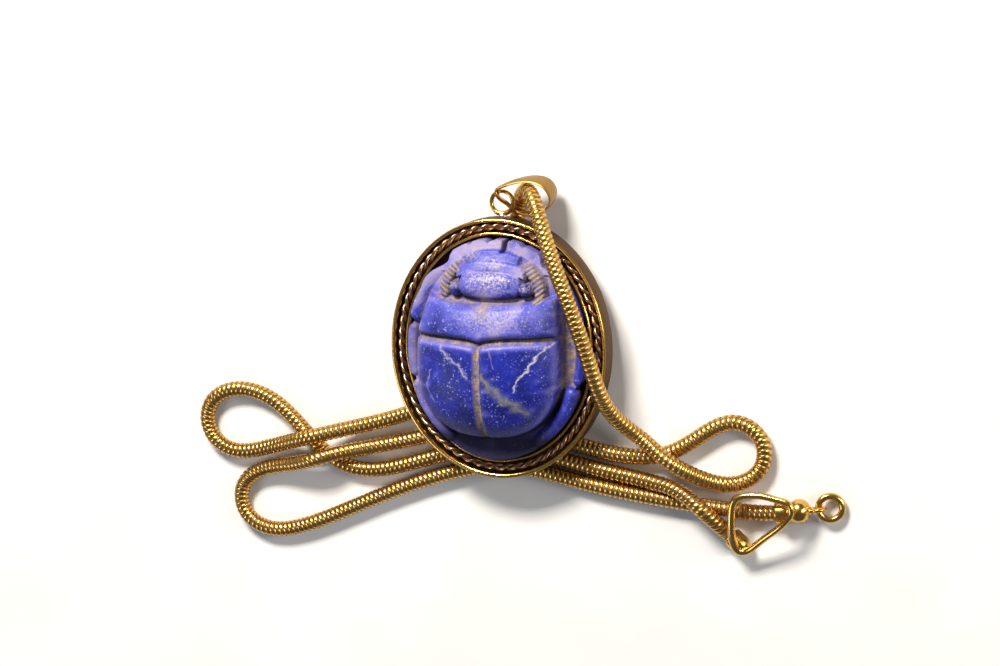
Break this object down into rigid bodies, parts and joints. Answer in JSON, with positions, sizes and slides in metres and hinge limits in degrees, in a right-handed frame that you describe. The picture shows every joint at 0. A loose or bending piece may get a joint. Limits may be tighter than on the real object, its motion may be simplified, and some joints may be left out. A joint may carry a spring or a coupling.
{
  "type": "scarab amulet",
  "caption": "Carved oval beetle stone in a metal frame with a twisted wire rim, hung by a ring and bail on a snake chain with a clasp.",
  "frame": {"origin": "centre of the stone's flat underside, seen through the open back of the frame", "axes": "+X to the right of the face, +Y towards the beetle's head and the hanging ring, +Z out of the front of the stone"},
  "size_m": [0.1206, 0.069, 0.0175],
  "materials": {
    "stone": "polished blue stone with pale and brassy flecks, dull tan dirt in the carving",
    "gold": "bright yellow metal, lightly worn",
    "dark_gold": "twisted wire, darkened in the hollows"
  },
  "bodies": {
    "root": {"scarab": "stone", "frame": "gold", "rope_wire": "dark_gold", "hanging_ring": "gold", "bail": "gold", "chain": "gold", "clasp": "gold", "end_cap": "gold", "end_ring": "gold"}
  },
  "joints": []
}
